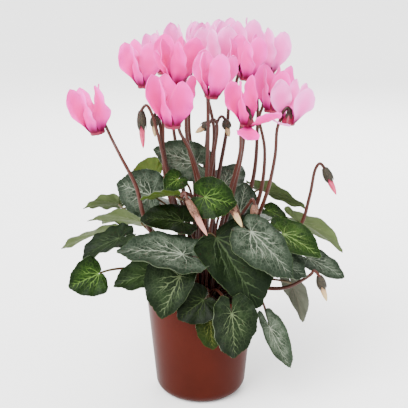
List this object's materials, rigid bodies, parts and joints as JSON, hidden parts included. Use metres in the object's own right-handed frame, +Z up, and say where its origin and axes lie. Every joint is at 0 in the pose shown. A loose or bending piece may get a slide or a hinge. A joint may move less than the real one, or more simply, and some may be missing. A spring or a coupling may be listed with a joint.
{
  "type": "potted cyclamen",
  "caption": "Flowering cyclamen in a tapered plastic nursery pot: a rosette of heart-shaped marbled leaves under pink swept-back flowers on hooked stalks.",
  "frame": {"origin": "centre of the pot's round foot pad, on the plane that the pot stands on", "axes": "+Z up along the pot's axis, -Y towards the side seen in the picture, +X to its right"},
  "size_m": [0.3054, 0.2412, 0.399],
  "materials": {
    "pot": "satin terracotta-coloured polypropylene",
    "soil": "damp peat potting soil",
    "stems": "red-brown fleshy stalks with a soft sheen",
    "leaf_silver": "satin leaf, silver-marbled over grey-green",
    "leaf_dark": "satin dark green leaf with paler veins",
    "leaf_young": "satin fresh green leaf with pale green veins",
    "petals": "soft translucent pink petals, magenta at the mouth",
    "buds": "furled pale pink petals"
  },
  "bodies": {
    "root": {"pot": "pot", "soil": "soil", "tuber_and_stems": "stems", "leaf_01": "leaf_young", "leaf_02": "leaf_silver", "leaf_03": "leaf_dark", "leaf_04": "leaf_silver", "leaf_05": "leaf_young", "leaf_06": "leaf_young", "leaf_07": "leaf_silver", "leaf_08": "leaf_young", "leaf_09": "leaf_silver", "leaf_10": "leaf_dark", "leaf_11": "leaf_dark", "leaf_12": "leaf_dark", "leaf_13": "leaf_dark", "leaf_14": "leaf_dark", "leaf_15": "leaf_young", "leaf_16": "leaf_dark", "leaf_17": "leaf_young", "leaf_18": "leaf_dark", "leaf_19": "leaf_dark", "leaf_20": "leaf_silver", "leaf_21": "leaf_silver", "leaf_22": "leaf_dark", "leaf_23": "leaf_silver", "leaf_24": "leaf_young", "leaf_25": "leaf_silver", "leaf_26": "leaf_silver", "leaf_27": "leaf_silver", "leaf_28": "leaf_young", "leaf_29": "leaf_silver", "leaf_30": "leaf_silver", "leaf_31": "leaf_silver", "leaf_32": "leaf_silver", "leaf_33": "leaf_dark", "leaf_34": "leaf_silver", "bloom_01": "petals", "bloom_02": "petals", "bloom_03": "petals", "bloom_04": "petals", "bloom_05": "petals", "bloom_06": "petals", "bloom_07": "petals", "bloom_08": "petals", "bloom_09": "petals", "bloom_10": "petals", "bloom_11": "petals", "bloom_12": "petals", "bloom_13": "petals", "bloom_14": "petals", "bloom_15": "petals", "bud_01": "buds", "bud_02": "buds", "bud_03": "buds", "bud_04": "buds", "bud_05": "buds", "bud_06": "buds", "bud_07": "buds"}
  },
  "joints": []
}
